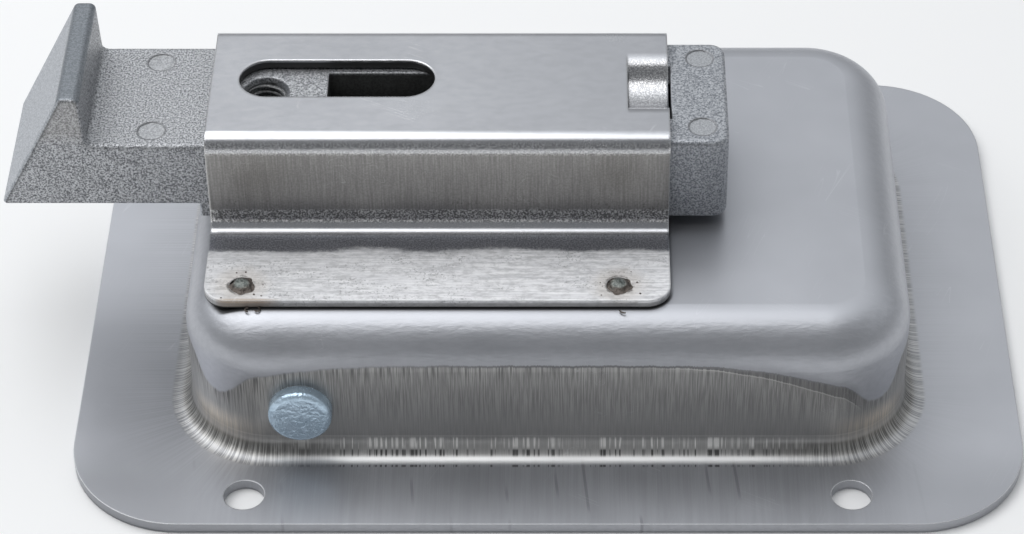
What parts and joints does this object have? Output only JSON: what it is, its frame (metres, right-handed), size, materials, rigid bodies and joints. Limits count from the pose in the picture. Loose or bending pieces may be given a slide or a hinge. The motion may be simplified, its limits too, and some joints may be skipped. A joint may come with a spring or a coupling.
{
  "type": "toolbox paddle lock",
  "caption": "Flush paddle lock for a toolbox door: drawn flanged pan, welded guide bracket and a sprung wedge bolt that a hinged, key-locked paddle draws back.",
  "frame": {"origin": "centre of the four mounting holes, on the flange's front face", "axes": "+X along the bolt away from its nose, +Y along the hinge pin away from its head, +Z from the front face into the toolbox"},
  "size_m": [0.1294, 0.088, 0.0416],
  "materials": {
    "pan_steel": "satin drawn stainless sheet",
    "bracket_steel": "satin folded stainless sheet",
    "weld_metal": "dull weld bead",
    "bolt_casting": "matte, speckled die casting",
    "spring_wire": "drawn wire",
    "pin_plate": "blue zinc plate",
    "clip_steel": "dark spring steel",
    "paddle_steel": "satin stainless sheet",
    "plated_steel": "zinc plate",
    "lock_chrome": "bright chrome plate",
    "wafer_brass": "stamped brass"
  },
  "bodies": {
    "frame": {"pan": "pan_steel", "guide_bracket": "bracket_steel", "plug_welds": "weld_metal", "hinge_pin": "pin_plate", "pin_clip": "clip_steel", "bolt_spring": "spring_wire", "paddle_spring": "spring_wire"},
    "bolt": {"slam_bolt": "bolt_casting"},
    "handle": {"paddle": "paddle_steel", "paddle_lever": "plated_steel", "lock_housing": "lock_chrome", "lock_nut": "plated_steel"},
    "key_plug": {"lock_plug": "lock_chrome", "lock_wafers": "wafer_brass", "plug_clip": "clip_steel", "lock_cam": "plated_steel", "cam_screw": "plated_steel"}
  },
  "joints": [
    {"name": "paddle_hinge", "type": "hinge", "parent": "frame", "child": "handle", "pos_m": [-0.031, 0, 0.009], "axis": [0, 1, 0], "range_deg": [0, 35], "stiffness_Nm_per_rad": 0.215, "springref_deg": -45.26, "deforming": ["paddle_spring"]},
    {"name": "bolt_slide", "type": "slide", "parent": "frame", "child": "bolt", "axis": [1, 0, 0], "range_m": [0, 0.012], "deforming": ["bolt_spring"]},
    {"name": "key_turn", "type": "hinge", "parent": "handle", "child": "key_plug", "pos_m": [0.002, 0, 0.01], "axis": [0, 0, 1], "range_deg": [0, 90]}
  ],
  "couplings": [
    {"joint": "bolt_slide", "follows": "paddle_hinge", "m_per_rad": 0.01964}
  ]
}
